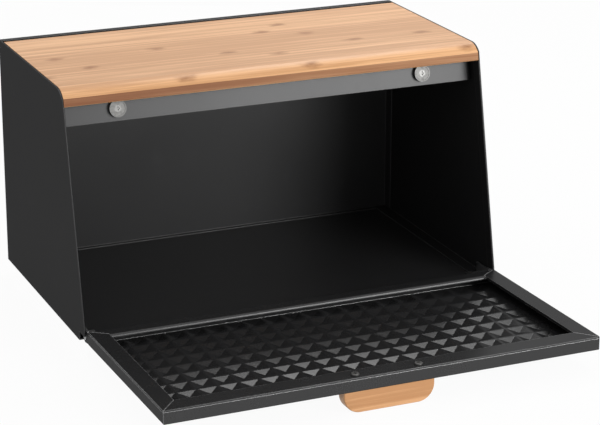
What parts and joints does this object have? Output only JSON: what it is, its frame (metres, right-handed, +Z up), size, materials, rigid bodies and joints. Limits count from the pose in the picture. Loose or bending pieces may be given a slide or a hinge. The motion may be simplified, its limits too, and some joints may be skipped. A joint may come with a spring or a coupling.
{
  "type": "bread box with drop-front door",
  "caption": "Sheet-steel bread box with a sloping drop-front door that hinges at the floor, magnet catches, a bamboo top board and a bamboo pull.",
  "frame": {"origin": "middle of the flat underside that the box stands on", "axes": "+X to the right, +Y to the back panel (the door opens towards -Y), +Z up"},
  "size_m": [0.39, 0.4147, 0.2247],
  "materials": {
    "painted_steel": "satin powder coat",
    "bamboo": "oiled",
    "plated_steel": "zinc plated",
    "magnet": "nickel plated"
  },
  "bodies": {
    "box": {"floor_panel": "painted_steel", "back_panel": "painted_steel", "left_side_panel": "painted_steel", "right_side_panel": "painted_steel", "lintel": "painted_steel", "rear_rail": "painted_steel", "top_board": "bamboo", "board_screws": "plated_steel", "left_magnet_cup": "plated_steel", "right_magnet_cup": "plated_steel", "left_magnet_ring": "magnet", "right_magnet_ring": "magnet", "magnet_screws": "plated_steel", "magnet_nuts": "plated_steel", "left_hinge_bracket": "plated_steel", "right_hinge_bracket": "plated_steel", "bracket_rivets": "plated_steel"},
    "door": {"door_skin": "painted_steel", "door_frame": "painted_steel", "door_handle": "bamboo", "handle_screws": "plated_steel", "left_hinge_pin": "plated_steel", "right_hinge_pin": "plated_steel"}
  },
  "joints": [
    {"name": "door_hinge", "type": "hinge", "parent": "box", "child": "door", "pos_m": [0, -0.1081, 0.006], "axis": [-1, 0, 0], "range_deg": [0, 100.74]}
  ]
}
